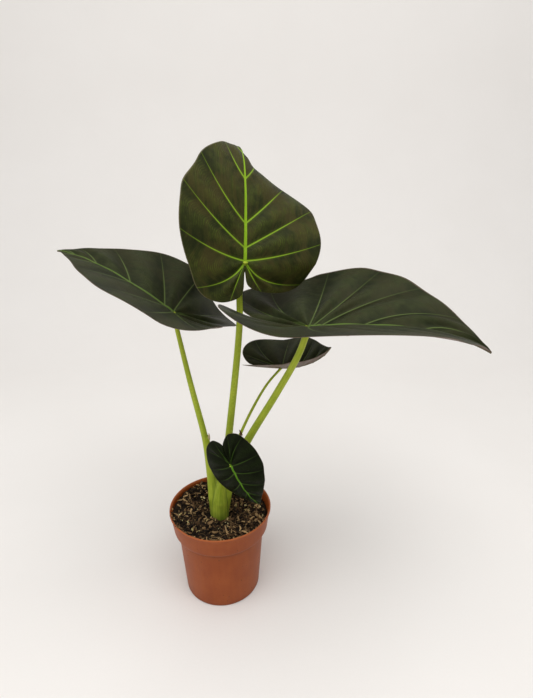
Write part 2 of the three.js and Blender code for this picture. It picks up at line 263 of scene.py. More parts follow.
# %% [markdown]
# ## Soft light
# Broad, even light comes from a window-like panel above and in front, and a second, weaker one at
# the left. A pale sky fills the shadows, which keeps the leaves' undersides readable. The plain
# "Standard" view keeps the blacks of the leaves deep, where a filmic view would turn them grey.

# %% Lights
def add_panel(name, place, target, size, power, colour):
    light = bpy.data.lights.new(name, "AREA")
    light.shape = "RECTANGLE"
    light.size, light.size_y = size
    light.energy = power
    light.color = colour
    panel = bpy.data.objects.new(name, light)
    panel.location = place
    panel.rotation_euler = (Vector(target) - Vector(place)).to_track_quat("-Z", "Y").to_euler()
    scene.collection.objects.link(panel)
    print(name, power, "W")

add_panel("panel_above", (0.25, -0.5, 1.9), (0.05, 0.0, 0.2), (1.7, 1.4), 24.8, (1.0, 0.99, 0.975))
add_panel("panel_left", (-1.5, -0.9, 1.1), (0.0, 0.0, 0.25), (1.4, 1.4), 8, (1.0, 0.99, 0.975))
sky = bpy.data.worlds.new("sky")
sky.use_nodes = True
sky.node_tree.nodes["Background"].inputs["Color"].default_value = (1.0, 0.997, 0.992, 1)
sky.node_tree.nodes["Background"].inputs["Strength"].default_value = 0.53
scene.world = sky
scene.view_settings.view_transform = "Standard"

# %% [markdown]
# ## The shape of a leaf
# An alocasia blade is heart-shaped: two lobes reach back past the place where the stalk joins it,
# and the front runs out to a drip tip. Each half is folded up from the midrib, curled across and
# bent along its length by its own amount, which is what tells one leaf from the next. The numbers
# below are in millimetres and degrees, and the heights are above the soil's crown.

# %% Leaf sizes
def half_leaf(lobe, width, widest, fold, fold_lobe, fold_tip, curl):
    """One half: its lobe's length, its width and where along the length it is widest, its fold up
    from the midrib, what the lobe and the tip add to that fold, and its curl across."""
    return dict(lobe=lobe, width=width, widest=widest, fold=fold, fold_lobe=fold_lobe,
                fold_tip=fold_tip, curl=curl)


LEAVES = {
    "upright": dict(
        attach=(33.5, 12, 305), heading=85, pitch=73, roll=19,
        length=142, sinus=10, bend=-12, hook=-78, lift=0,
        left=half_leaf(42, 73, 0.35, 23, 0, -8, 6),
        right=half_leaf(31, 84, 0.32, -3, -20, -69, -2),
        base=(0.5, 2), path=[(2.5, 2, 30), (13, 3, 112), (26.8, 10.8, 239), (27.5, 18, 284)],
        radii=(3.2, 4.2, 5), sheath_top=100),
    "left": dict(
        attach=(-40, 2, 255), heading=170.8, pitch=36.5, roll=1.1,
        length=132.8, sinus=14, bend=-13, hook=-16.5, lift=48,
        left=half_leaf(60.5, 67.7, 0.27, 11.7, 5, -18.9, -1.6),
        right=half_leaf(61.5, 70.4, 0.14, 20.8, -40.5, -6.9, 7.5),
        base=(-5.5, 0), path=[(-6.2, -0.5, 28), (-9.5, -0.5, 70), (-13.7, 0, 105), (-27, 1, 176)],
        radii=(2.3, 3.7, 7.6), sheath_top=108),
    "right": dict(
        attach=(98, -6, 242), heading=-15, pitch=9.7, roll=1.2,
        length=177.7, sinus=22, bend=-18.1, hook=-20.5, lift=45,
        left=half_leaf(88.8, 90.1, 0.26, 10.3, -11.1, 15, 23.7),
        right=half_leaf(93.7, 89.9, 0.58, 13.8, 3.9, 8, -1.3),
        base=(3, -0.5), path=[(6.4, -1, 28), (15, -1, 66), (36.5, -1.5, 110), (66, -3, 165),
                              (88, -5, 210)],
        radii=(3.4, 4.3, 7.4), sheath_top=112),
    "back": dict(
        attach=(71.9, 48, 172), heading=-2, pitch=-2, roll=12,
        length=67, sinus=23, bend=55, hook=16, lift=6,
        left=half_leaf(47, 52, 0.37, 9, 12, 3, -3),
        right=half_leaf(45, 46, 0.13, 36, -4, 4, 12),
        base=(3.5, 8.5), path=[(5, 11, 30), (15, 17, 73), (32, 28, 114), (55, 41, 153)],
        radii=(1.5, 2, 4.2), sheath_top=80),
    "front": dict(
        attach=(17.5, -42, 100), heading=317, pitch=-56, roll=60,
        length=65, sinus=22, bend=-50, hook=-8, lift=-4,
        left=half_leaf(31, 33, 0.12, 2, 2, -2, -13),
        right=half_leaf(31, 33, 0.07, -11, 4, -9, -24),
        base=(0.3, -4), path=[(0.8, -4.8, 28), (4.5, -13, 60), (11, -28, 88)],
        radii=(1.8, 2.4, 9.3), sheath_top=58),
}
print(len(LEAVES), "leaves")

# %% [markdown]
# ## Curves through points
# Outlines and stalks both pass smoothly through a few chosen points. The curve used is a
# Catmull-Rom spline, whose knots are spaced by the square root of the distance between points.

# %% Smooth curves
def smooth_curve(points, t):
    """The curve's points at t, where t runs from 0 to 1 with equal shares for each span."""
    points = np.asarray(points, float)
    ends = np.vstack([2 * points[0] - points[1], points, 2 * points[-1] - points[-2]])
    spans = len(points) - 1
    t = np.clip(np.asarray(t, float), 0, 1) * spans
    i = np.minimum(t.astype(int), spans - 1)
    p = [ends[i + k] for k in range(4)]
    gaps = [np.maximum(np.linalg.norm(b - a, axis=-1), 1e-6) ** 0.5 for a, b in zip(p, p[1:])]
    k = [np.zeros_like(gaps[0])]
    for gap in gaps:
        k.append(k[-1] + gap)
    at = (k[1] + (t - i) * gaps[1])[..., None]
    k = [each[..., None] for each in k]

    def blend(a, b, ka, kb):
        return (kb - at) / (kb - ka) * a + (at - ka) / (kb - ka) * b

    a = [blend(p[j], p[j + 1], k[j], k[j + 1]) for j in range(3)]
    b = [blend(a[j], a[j + 1], k[j], k[j + 2]) for j in range(2)]
    return blend(b[0], b[1], k[1], k[2])


def half_outline(leaf, half):
    """Flat points along the margin of one half, from the notch round the lobe to the tip."""
    def ahead(share):
        return (half["widest"] + (1 - half["widest"]) * share) * leaf["length"]

    w, lobe = half["width"], half["lobe"]
    return [(-leaf["sinus"], 0), (-0.8 * lobe, 0.05 * w), (-lobe, 0.32 * w), (-0.86 * lobe, 0.66 * w),
            (-0.4 * lobe + 0.25 * half["widest"] * leaf["length"], 0.93 * w), (ahead(0), w),
            (ahead(0.3), 0.86 * w), (ahead(0.55), 0.58 * w), (ahead(0.78), 0.26 * w),
            (ahead(0.93), 0.07 * w), (leaf["length"], 0)]

# %% [markdown]
# ## Bending the flat blade
# A flat blade point is u millimetres ahead of the stalk and v millimetres from the midrib. It is
# carried onto the curved midrib, then out along its half, without being stretched. `height` lifts
# it off the middle surface, for the quilting between the veins and for the blade's thickness.

# %% Blade surface
def follow(reach, turn, steps=24):
    """Walks out along a curve in small steps; turn(s) is the slope at distance s, in radians."""
    step = reach / steps
    along, rise = np.zeros_like(reach), np.zeros_like(reach)
    for i in range(steps):
        angle = turn((i + 0.5) * step)
        along += np.cos(angle) * step
        rise += np.sin(angle) * step
    return along, rise, turn(reach)


def blade_axes(leaf):
    """Directions along the midrib, out to the left half and up, where the stalk joins."""
    yaw, pitch, roll = (math.radians(leaf[key]) for key in ("heading", "pitch", "roll"))
    flat_way = np.array((math.cos(yaw), math.sin(yaw), 0))
    ahead = math.cos(pitch) * flat_way + np.array((0, 0, math.sin(pitch)))
    level = np.array((-math.sin(yaw), math.cos(yaw), 0))
    side = math.cos(roll) * level + math.sin(roll) * np.cross(ahead, level)
    return ahead, side, np.cross(ahead, side)


def blade_points(leaf, u, v, sign, height):
    ahead, side, up = blade_axes(leaf)
    half = leaf["left"] if sign > 0 else leaf["right"]
    length, lobe = leaf["length"], max(leaf["left"]["lobe"], leaf["right"]["lobe"])
    bend, hook, lift = (math.radians(leaf[key]) for key in ("bend", "hook", "lift"))
    forward, backward = np.maximum(u, 0), np.maximum(-u, 0)
    along_f, rise_f, angle_f = follow(forward, lambda s: bend * s / length + hook * (s / length) ** 4)
    along_b, rise_b, angle_b = follow(backward, lambda s: lift * s / lobe)
    along, rise, angle = along_f - along_b, rise_f + rise_b, (angle_f - angle_b)[:, None]
    rib_up = np.cos(angle) * up - np.sin(angle) * ahead
    fold = np.radians(half["fold"] + half["fold_tip"] * (forward / length) ** 2
                      + half["fold_lobe"] * backward / lobe)
    turned = math.radians(half["curl"]) * v / half["width"]
    chord = v * np.sinc(turned / 2 / math.pi)
    slope = (fold + turned) * np.minimum(1, v / 5)
    out = chord * np.cos(fold + turned / 2) - height * np.sin(slope)
    lifted = chord * np.sin(fold + turned / 2) + height * np.cos(slope)
    origin = np.array(leaf["attach"]) + (0, 0, CROWN)
    return (origin + along[:, None] * ahead + rise[:, None] * up
            + (sign * out)[:, None] * side + lifted[:, None] * rib_up)

# %% [markdown]
# ## Veins set the mesh
# On each half a stout vein runs from the stalk into the lobe and forks there, and a few side veins
# leave the midrib and arch towards the tip. The mesh's rows follow them: rows 0 and 1 are the fork
# in the lobe, each later whole number is the next side vein, and row -1 is the notch. So every
# vein lies along an edge of the mesh and stays crisp, while the rows between are spread smoothly.
# A row starts on the midrib, leaves it at an angle and bends towards its place on the margin.

# %% Vein layout
LEAVE_ANGLE = (170, 158, 152, 84, 60, 50, 44, 38, 20)   # from the way to the tip, in degrees
LEAVE_REACH = (0.30, 0.46, 0.44, 0.42, 0.45, 0.45, 0.45, 0.45, 0.40)   # share of a row's length
VEINS = {   # where side veins start, as shares of the length, and end, as shares of the outline
    "upright": ((0, 0, 0.0, 0.09, 0.26, 0.58, 0.82), (0.17, 0.33, 0.45, 0.555, 0.67, 0.80, 0.91)),
    "left": ((0, 0, 0.0, 0.08, 0.39, 0.68, 0.86), (0.19, 0.33, 0.46, 0.595, 0.73, 0.84, 0.925)),
    "right": ((0, 0, 0.0, 0.02, 0.07, 0.31, 0.62), (0.19, 0.33, 0.45, 0.545, 0.66, 0.785, 0.90)),
    "back": ((0, 0, 0.02, 0.12, 0.31, 0.56, 0.80), (0.19, 0.33, 0.46, 0.56, 0.67, 0.79, 0.90)),
    "front": ((0, 0, 0.02, 0.14, 0.34, 0.56, 0.78), (0.19, 0.33, 0.46, 0.56, 0.67, 0.78, 0.89)),
}
SIDE_VEINS = 7
print(SIDE_VEINS, "veins on each half of", len(VEINS), "leaves")

# %% [markdown]
# ## Rows between the veins
# Rows stand close together beside a vein, where the surface turns quickly, and further apart half
# way to the next. A row is a quadratic curve from the midrib to the margin. The distance to the
# nearest vein is worked out on the flat blade, for the relief and for the finish.

# %% Rows of a blade
def row_values(per_gap):
    """Rows from -1, the notch, to the tip, closer together beside each vein."""
    ease = np.linspace(0, 1, per_gap, endpoint=False)
    ease = ease - 0.8 * np.sin(2 * math.pi * ease) / (2 * math.pi)
    return np.concatenate([ease + i for i in range(-1, SIDE_VEINS)] + [[SIDE_VEINS]])


def row_paths(leaf, half, layout, rows, across, ripple):
    """Flat points of every row, from the midrib to the margin, and the length of each row."""
    knots = np.arange(-1, SIDE_VEINS + 1)
    starts, ends = layout
    start_knots = [-leaf["sinus"]] + [s * leaf["length"] for s in starts] + [leaf["length"]]
    start_u = np.interp(rows, knots, start_knots)
    margin = smooth_curve(half_outline(leaf, half), np.interp(rows, knots, (0,) + ends + (1,)))
    out = np.maximum(margin[:, 1], 0)
    margin[:, 1] = out + ripple * np.minimum(1, out / 25)
    start = np.stack([start_u, np.zeros_like(start_u)], -1)
    reach = np.linalg.norm(margin - start, axis=1)
    angle = np.radians(np.interp(rows, knots, LEAVE_ANGLE))
    lead = np.interp(rows, knots, LEAVE_REACH) * reach
    middle = start + lead[:, None] * np.stack([np.cos(angle), np.sin(angle)], -1)
    t = across[None, :, None]
    flat = (1 - t) ** 2 * start[:, None] + 2 * t * (1 - t) * middle[:, None] + t ** 2 * margin[:, None]
    return flat, reach


def vein_distance(points, paths):
    """Distance from each flat point to the nearest of the vein paths."""
    best = np.full(len(points), 1e9)
    for path in paths:
        for a, c in zip(path[:-1], path[1:]):
            along = c - a
            t = np.clip(((points - a) @ along) / max(along @ along, 1e-9), 0, 1)
            best = np.minimum(best, np.linalg.norm(points - a - t[:, None] * along, axis=1))
    return best

# %% [markdown]
# ## Relief of a blade
# The upper surface rises gently between the veins and dips along them; beneath, the same veins
# stand out as round ridges. The margin waves a little, each leaf in its own way. The blade is
# under a millimetre thick and thins out towards its edge.

# %% Blade relief
def blade_relief(form, part, reach, half, quilt, waves):
    """Height above the middle surface of one half, for its upper and its lower side, in mm."""
    row, across, vein, rib = (part[key] for key in ("row", "across", "vein", "rib"))
    spread = np.clip(reach / (0.5 * half["width"]), 0, 1)
    between = np.sin(math.pi * row) ** 2 * np.sin(math.pi * across ** 0.8)
    wave = sum(size * np.sin(turns * row + start) for turns, size, start in waves)
    height = quilt * between * spread + form["wave"] * wave * across ** 3 * spread
    taper = 1 - 0.7 * across
    groove = np.exp(-(vein ** 2)) * taper + np.exp(-(rib ** 2))
    upper = height - 0.28 * form["vein"] * groove
    ridge = np.exp(-(vein / 1.4) ** 2) * taper + 1.3 * np.exp(-(rib / 1.2) ** 2)
    lower = height - form["thick"] * (1 - 0.6 * across ** 6) - 0.8 * form["vein"] * ridge
    return upper, lower

# %% [markdown]
# ## Two skins and a rim
# Each half is built twice, once for its upper and once for its lower side, and a narrow rim joins
# the two along the margin. The stored numbers tell the finish how far a point is from the nearest
# vein and from the midrib, which row it is on, and whether it is on the underside.

# %% Blade mesh
def make_blade(name, material, slot, **form):
    leaf = LEAVES[name]
    rows = row_values(form["per_gap"])
    across = np.linspace(0, 1, form["columns"]) ** 1.08
    starts = np.random.default_rng(form["seed"]).uniform(0, 6, 3)
    waves = list(zip((1.3, 2.9, 4.7), (0.6, 0.3, 0.15), starts))
    points, faces, parts = [], [], []
    count = len(rows) * len(across)
    for sign, half, quilt in zip((1, -1), (leaf["left"], leaf["right"]), form["quilt"]):
        swell = 0.6 * np.sin(2.9 * rows + sign) + 0.45 * np.sin(6.1 * rows + form["seed"])
        flat, reach = row_paths(leaf, half, VEINS[name], rows, across, form["ripple"] * swell)
        veins = [flat[int(np.argmin(np.abs(rows - k)))] for k in range(SIDE_VEINS)]
        u, v = flat[..., 0].ravel(), np.maximum(flat[..., 1].ravel(), 0)
        part = dict(row=np.repeat(rows, len(across)), across=np.tile(across, len(rows)), u=u)
        part["out"] = part["across"] * np.repeat(reach, len(across))
        strength = 1 - 0.66 * part["across"]
        part["vein"] = vein_distance(np.stack([u, v], -1), veins) / (form["vein"] * strength)
        rib_width = form["vein"] * (2.1 - 1.5 * np.clip(u / leaf["length"], 0, 1))
        part["rib"] = np.where(u < 0, np.hypot(u, v), v) / rib_width
        relief = blade_relief(form, part, np.repeat(reach, len(across)), half, quilt, waves)
        for under, height in enumerate(relief):
            first = len(points) * count
            points.append(blade_points(leaf, u, v, sign, height))
            faces += [tuple(first + i for i in face)
                      for face in grid_faces(len(rows), len(across), flip=(sign > 0) != bool(under))]
            parts.append(dict(part, under=np.full_like(u, under)))
        # The rim joins the upper and the lower side along the margin.
        upper, lower = first - count, first
        for i in range(len(rows) - 1):
            a, c = (i + 1) * len(across) - 1, (i + 2) * len(across) - 1
            quad = (upper + a, upper + c, lower + c, lower + a)
            faces.append(quad if sign > 0 else quad[::-1])
    values = {key: np.concatenate([part[key] for part in parts]) for key in parts[0] if key != "u"}
    piece = make_piece("leaf_" + name, np.vstack(points), faces, material, values, slot=slot,
                       replaces=["blade_" + name])
    weld(piece)
    print(piece.name, len(piece.data.vertices), "points")


def weld(piece):
    """Joins points that lie together, and turns every face outwards."""
    shape = bmesh.new()
    shape.from_mesh(piece.data)
    bmesh.ops.remove_doubles(shape, verts=shape.verts, dist=0.00002)
    bmesh.ops.dissolve_degenerate(shape, edges=shape.edges, dist=0.000005)
    bmesh.ops.recalc_face_normals(shape, faces=shape.faces)
    shape.to_mesh(piece.data)
    shape.free()
    piece.data.polygons.foreach_set("use_smooth", [True] * len(piece.data.polygons))

# %% [markdown]
# ## Leaf skin
# The grown blades are a very dark grey-green above, with paler veins, and mauve-brown beneath; the
# smallest is almost black. The youngest blade is thinner: its olive skin is tinged with brown and
# its veins are lime green. Fine veinlets cross from one side vein to the next, and tiny cells give
# the skin its grain. Between the side veins the skin is painted a little lighter, a painted
# highlight where light would catch the raised quilting. One function makes all three finishes
# from their gloss and seven colours.

# %% Blade finish
VEINLET_GAP = 2.1   # between one fine veinlet and the next, in mm


def blade_finish(name, gloss, skin, skin_light, tinge, veins, rib, under_dark, under_light):
    f = Finish(name, Specular_IOR_Level=gloss, Specular_Tint=(0.88, 0.92, 0.62, 1))
    vein, rib_at, row = f.stored("vein"), f.stored("rib"), f.stored("row")
    across, under, out = f.stored("across"), f.stored("under"), f.stored("out")
    arch = (row * math.pi).sine() ** 2
    arc = out - arch * 7
    mottle = f.noise(8, detail=4, rough=0.6)
    blotch = f.noise(34, detail=2)
    drift = f.noise(1, detail=3, rough=0.6, at=f.vector(row * 1.6, arc * 0.16, 0))
    veinlets = ((arc * (2 * math.pi / VEINLET_GAP) + drift * 14).sine() * 0.5 + 0.5) ** 3
    cells = f.cells(0.8)
    # random tone from mottle, blotch and drift, plus a painted highlight (the arch term) between the
    # side veins
    tone_and_crown_highlight = (mottle * 0.4 + blotch * 0.4 + drift * 0.3 + arch * 0.22).step(0.42, 0.92)
    top = f.mix(tone_and_crown_highlight, skin, skin_light)
    top = f.mix((blotch * 0.65 + drift * 0.45).step(0.48, 0.66) * 0.7, top, tinge)
    top = f.mix(veinlets * arch * mottle.step(0.35, 0.62) * 0.13, top, veins)
    faded = 1 - across.step(0.35, 1.0) * 0.72
    vein_line = vein.step(1.15, 0.55) * faded
    halo = vein.step(4.5, 0.8) * faded * 0.10
    rib_line = rib_at.step(1.15, 0.75)
    top = f.mix((vein_line + halo).clamped(), top, veins)
    top = f.mix(rib_line, top, rib)
    top = f.mix(across.step(0.984, 0.997) * 0.5, top, under_light)
    patches = (mottle * 0.5 + drift * 0.4 + veinlets * 0.15).step(0.3, 0.78)
    below = f.mix(patches, under_dark, under_light)
    below = f.mix((vein_line * 0.6).math("MAXIMUM", rib_line * 0.7), below, veins)
    f.colour(f.mix(under, top, below))
    f.rough(0.42 + mottle * 0.14 + cells * 0.06 - (vein_line + rib_line) * 0.05)
    f.bump(cells * 0.12 + veinlets * arch * 0.3 + drift * 0.9 + mottle * 0.9, 0.42)
    return f.material

grown = blade_finish(
    "grown_blade", gloss=0.17, skin=(0.0065, 0.0092, 0.0024), skin_light=(0.030, 0.037, 0.0125),
    tinge=(0.022, 0.020, 0.008), veins=(0.085, 0.120, 0.034), rib=(0.095, 0.155, 0.030),
    under_dark=(0.10, 0.066, 0.050), under_light=(0.21, 0.150, 0.118))
dark = blade_finish(
    "dark_blade", gloss=0.09, skin=(0.0011, 0.0022, 0.0005), skin_light=(0.0056, 0.0094, 0.0023),
    tinge=(0.0042, 0.0056, 0.0021), veins=(0.034, 0.064, 0.011), rib=(0.08, 0.19, 0.012),
    under_dark=(0.075, 0.058, 0.042), under_light=(0.17, 0.128, 0.095))
young = blade_finish(
    "young_blade", gloss=0.17, skin=(0.0100, 0.0132, 0.0024), skin_light=(0.036, 0.0405, 0.0084),
    tinge=(0.045, 0.0355, 0.0094), veins=(0.20, 0.33, 0.018), rib=(0.225, 0.39, 0.014),
    under_dark=(0.07, 0.058, 0.028), under_light=(0.17, 0.145, 0.08))
print("blade finishes,", len(young.node_tree.nodes), "nodes each")

# %% [markdown]
# ## Five blades
# Each blade has its own relief: the largest is gently pleated between its side veins, the youngest
# is nearly flat, and the two small ones are crisp and a little cupped.

# %% Blades
make_blade("upright", young, "young_blade", per_gap=16, columns=56, quilt=(2.0, 2.0), wave=2.4,
           ripple=2.4, vein=0.95, thick=0.8, seed=2)
make_blade("left", grown, "blade", per_gap=16, columns=52, quilt=(1.6, 3.4), wave=1.5, ripple=0.9,
           vein=0.8, thick=0.8, seed=3)
make_blade("right", grown, "blade", per_gap=18, columns=64, quilt=(6.0, 2.4), wave=2.4, ripple=1.7,
           vein=0.9, thick=0.9, seed=5)
make_blade("back", grown, "blade", per_gap=10, columns=34, quilt=(2.4, 2.0), wave=1.4, ripple=0.8,
           vein=0.65, thick=0.7, seed=1)
make_blade("front", dark, "blade", per_gap=11, columns=36, quilt=(3.2, 3.2), wave=0.8, ripple=0.5,
           vein=0.6, thick=0.7, seed=4)

# %% [markdown]
# ## Stalks along a curve
# A leaf stalk, or petiole, is a tube along a smooth curve. To carry a ring along the curve without
# twisting it, each ring's directions are the last ring's, turned no more than the curve turns.

# %% Tubes
def stalk_frames(centres):
    tangents = np.gradient(centres, axis=0)
    tangents /= np.linalg.norm(tangents, axis=1)[:, None]
    first = np.cross(tangents[0], (0, 1.0, 0))
    across = [first / np.linalg.norm(first)]
    for tangent in tangents[1:]:
        step = across[-1] - tangent * (across[-1] @ tangent)
        across.append(step / np.linalg.norm(step))
    across = np.array(across)
    return tangents, across, np.cross(tangents, across)


def tube(centres, radii, sides=28, squeeze=1.0):
    """Points and faces of a closed tube; `squeeze` flattens it along its second direction."""
    _, first, second = stalk_frames(centres)
    angle = np.linspace(0, 2 * math.pi, sides, endpoint=False)
    wide = (radii[:, None] * np.cos(angle))[..., None] * first[:, None]
    deep = (radii[:, None] * squeeze * np.sin(angle))[..., None] * second[:, None]
    points = (centres[:, None] + wide + deep).reshape(-1, 3)
    faces = grid_faces(len(centres), sides, closed=True)
    faces.append(tuple(range(sides))[::-1])
    faces.append(tuple(range(len(points) - sides, len(points))))
    return points, faces


def gather(shapes):
    """Several shapes, each its points and faces, as one."""
    points, faces = [], []
    for shape_points, shape_faces in shapes:
        faces += [tuple(len(points) + i for i in face) for face in shape_faces]
        points += [tuple(p) for p in shape_points]
    return points, faces

# %% [markdown]
# ## How the stalks swell
# Above its knee a stalk narrows evenly to the blade. Below it, the stalk widens into a sheath that
# wraps the younger leaves, and draws in again where it enters the soil. Each of the two large
# leaves also has a free sheath edge, a thin wing up the inner side of the stalk. At the top the
# stalk spreads for the last few millimetres under the blade.

# %% Stalk lines
SHEATH_BULGE = 25   # height at which a sheath is widest, in mm
STALK_DEPTH = 15.5   # how far a stalk reaches down into the soil, in mm
FLARE, FLARE_REACH = 0.25, 4   # how much a stalk spreads under its blade, and over how many mm
WINGS = {"left": ((-4.5, -3, 40), (-10.2, -1.5, 110)), "right": ((6, -3.5, 40), (26.6, -2.5, 116))}


def stalk_line(leaf):
    x, y = leaf["base"]
    end = np.array(leaf["attach"], float) - 0.6 * blade_axes(leaf)[2]
    chosen = [(x, y, -STALK_DEPTH), (x, y, 0)] + leaf["path"] + [tuple(end)]
    centres = smooth_curve(chosen, np.linspace(0, 1, 110))
    top, knee, base = leaf["radii"]
    z = centres[:, 2]
    rise = np.clip((z - leaf["sheath_top"]) / (leaf["attach"][2] - leaf["sheath_top"]), 0, 1)
    down = np.clip((leaf["sheath_top"] - z) / (leaf["sheath_top"] - SHEATH_BULGE), 0, 1)
    foot = np.clip((SHEATH_BULGE - z) / SHEATH_BULGE, 0, 1)
    radii = knee + (top - knee) * rise + (base - knee) * (down - 0.2 * foot)
    to_go = np.linalg.norm(centres - centres[-1], axis=1)
    return centres + (0, 0, CROWN), radii * (1 + FLARE * np.exp(-to_go / FLARE_REACH))


lines = {name: stalk_line(leaf) for name, leaf in LEAVES.items()}
# A thick tube in the heart of the stem fills the space that the sheaths leave between them.
t = np.linspace(0, 1, 60)
heart = [(-1.2, -2.4, -15), (-0.8, -2.6, 4), (0.5, -2.8, 26), (1.5, -1.5, 52), (2, 0, 74)]
heart_radii = 9.4 + 1.9 * np.sin(math.pi * np.clip(1.45 * t, 0, 1)) - 6.5 * t ** 2.2
lines["heart"] = (smooth_curve(heart, t) + (0, 0, CROWN), heart_radii)
for name, (foot, top) in WINGS.items():
    t = np.linspace(0, 1, 40)[:, None]
    wing = np.array(foot) + (np.array(top) - np.array(foot)) * t + (0, 0, CROWN)
    lines["wing_" + name] = (wing, 3.4 - 2.3 * t[:, 0])
for name, (centres, radii) in lines.items():
    print(name, "is", round(float(np.linalg.norm(np.diff(centres, axis=0), axis=1).sum())), "mm long")

# %% [markdown]
# ## Stalk finish
# The skin is smooth and yellow-green with fine lengthwise stripes. Low down the green deepens in
# lengthwise bands, there are brownish flecks where old sheaths rubbed, and a dark line shows where
# one sheath's edge lies on the next.

# %% Stalk skin
stalk = Finish("stalk_skin", Specular_IOR_Level=0.22, Specular_Tint=(0.95, 1.0, 0.7, 1))
low, seam = stalk.stored("low"), stalk.stored("seam")
stripe_at = stalk.vector(stalk.stored("around") * 3.0, stalk.stored("aside") * 3.0, low * 0.010)
stripes = stalk.noise(0.4, detail=4, rough=0.6, at=stripe_at)
flecks = stalk.noise(1.5, detail=4, rough=0.65, at=stalk.place((1, 1, 0.35)))
soft = stalk.noise(17, detail=3)
pale_share = (stripes * 0.7 + soft * 0.4).step(0.38, 0.78)
fresh = stalk.mix(pale_share, (0.250, 0.330, 0.020), (0.455, 0.52, 0.050))
low_share = (stripes * 0.6 + soft * 0.5).step(0.35, 0.75)
deep = stalk.mix(low_share, (0.135, 0.205, 0.014), (0.41, 0.50, 0.055))
skin = stalk.mix(low.step(70, 5) * 0.8, fresh, deep)
skin = stalk.mix(low.step(26, 0) * 0.55, skin, (0.085, 0.135, 0.014))
bands = stalk.noise(4.5, detail=2, at=stalk.place((1, 1, 0.04))).step(0.5, 0.66)
skin = stalk.mix(bands * low.step(62, 30) * 0.42, skin, (0.10, 0.155, 0.014))
skin = stalk.mix(flecks.step(0.64, 0.76) * low.step(110, 10) * 0.35, skin, (0.16, 0.13, 0.04))
skin = stalk.mix(seam.step(0.9, 0.1) * low.step(125, 95) * 0.5, skin, (0.075, 0.115, 0.016))
skin = stalk.mix(low.step(5, -1) * 0.6, skin, (0.07, 0.06, 0.02))
stalk.colour(skin)
stalk.rough(0.34 + stripes * 0.12 + flecks * 0.1)
stalk.bump(stripes * 0.8 + flecks * 0.2, 0.10)
print("stalk skin,", len(stalk.tree.nodes), "nodes")

# %% [markdown]
# ## One stem from many stalks
# Living sheaths press together so closely that no gap shows. The tubes are therefore joined with a
# voxel remesh, which keeps their outer skin only, and smoothed until the creases are soft.

# %% Stalks
points, faces = gather(tube(*line) for line in lines.values())
stalks = make_piece("leaf_stalks", points, faces, stalk.material, slot="petiole",
                    replaces=["petiole_" + name for name in LEAVES])


def apply_modifiers(piece):
    bpy.context.view_layer.update()
    made = bpy.data.meshes.new_from_object(piece.evaluated_get(bpy.context.evaluated_depsgraph_get()))
    piece.modifiers.clear()
    piece.data = made
    made.polygons.foreach_set("use_smooth", [True] * len(made.polygons))


remesh = stalks.modifiers.new("remesh", "REMESH")
remesh.mode = "VOXEL"
remesh.voxel_size = 0.75 * MM
soften = stalks.modifiers.new("soften", "SMOOTH")
soften.factor = 0.5
soften.iterations = 6
apply_modifiers(stalks)
print("stalks", len(stalks.data.vertices), "points")

# %% [markdown]
# ## Stripes that follow the stalks
# The remeshed skin has forgotten which stalk it came from. Each of its points finds the nearest
# stalk line and stores its place round that stalk and its height above the soil, for the stripes.
# Where two stalks are equally near, one sheath's edge lies on the next.

# %% Numbers for the stalk finish
found = np.empty(len(stalks.data.vertices) * 3)
stalks.data.vertices.foreach_get("co", found)
found = found.reshape(-1, 3) / MM
nearest = np.full(len(found), 1e9)
second_nearest = nearest.copy()
turn = np.zeros((len(found), 2))
for centres, radii in [line for name, line in lines.items() if name != "heart"]:
    _, first, second = stalk_frames(centres)
    steps = [((found - c) ** 2).sum(1) ** 0.5 - r for c, r in zip(centres, radii)]
    closest = np.argmin(steps, axis=0)
    gap = np.min(steps, axis=0)
    outward = found - centres[closest]
    outward /= np.linalg.norm(outward, axis=1)[:, None]
    here = np.stack([(outward * first[closest]).sum(1), (outward * second[closest]).sum(1)], -1)
    closer = gap < nearest
    second_nearest = np.where(closer, nearest, np.minimum(second_nearest, gap))
    turn = np.where(closer[:, None], here, turn)
    nearest = np.minimum(nearest, gap)
stored = dict(around=turn[:, 0], aside=turn[:, 1], low=found[:, 2] - CROWN,
              seam=second_nearest - nearest)
for key, column in stored.items():
    data = stalks.data.attributes.new(key, "FLOAT", "POINT").data
    data.foreach_set("value", column.astype(np.float32))
print("stored", ", ".join(stored), "with", len(found), "points")

# %% [markdown]
# ## Dried sheath tips
# Each free sheath edge ends in a small point that has dried: pale parchment on the left stalk, and
# brown on the right one. A tip is a thin flattened cone that bends a little outwards.

# %% Sheath tips
dry = Finish("dry_sheath", Roughness=0.8, Specular_IOR_Level=0.2)
fibres = dry.noise(0.5, detail=4, at=dry.place((1.4, 1.4, 0.12)))
straw = dry.mix(fibres.step(0.3, 0.7), (0.34, 0.26, 0.12), (0.58, 0.50, 0.30))
scorched = dry.mix(fibres.step(0.35, 0.7), (0.06, 0.03, 0.013), (0.19, 0.095, 0.045))
dry.colour(dry.mix(dry.stored("brown"), straw, scorched))
dry.bump(fibres, 0.15)
for name, lean, brown in (("left", (0.8, -1.0, 9), 0), ("right", (-1.8, -1.2, 8), 1)):
    start = np.array(WINGS[name][1], float) + (0, 0, CROWN - 4)
    t = np.linspace(0, 1, 14)[:, None]
    centres = start + np.array(lean) * t + np.array((0.6, -0.4, 0)) * np.sin(3 * t)
    points, faces = tube(centres, 1.75 * (1 - t[:, 0]) ** 0.7 + 0.12, sides=12, squeeze=0.45)
    make_piece("sheath_tip_" + name, points, faces, dry.material, dict(brown=[brown] * len(points)),
               slot="petiole")
    print("sheath tip", name, round(float(np.linalg.norm(lean)), 1), "mm long")

# %% [markdown]
# ## The corm
# The leaves spring from a swollen stem that lies out of sight in the soil. Its solid is right as it
# is, so it stays and gets a rough, ringed, brown skin.

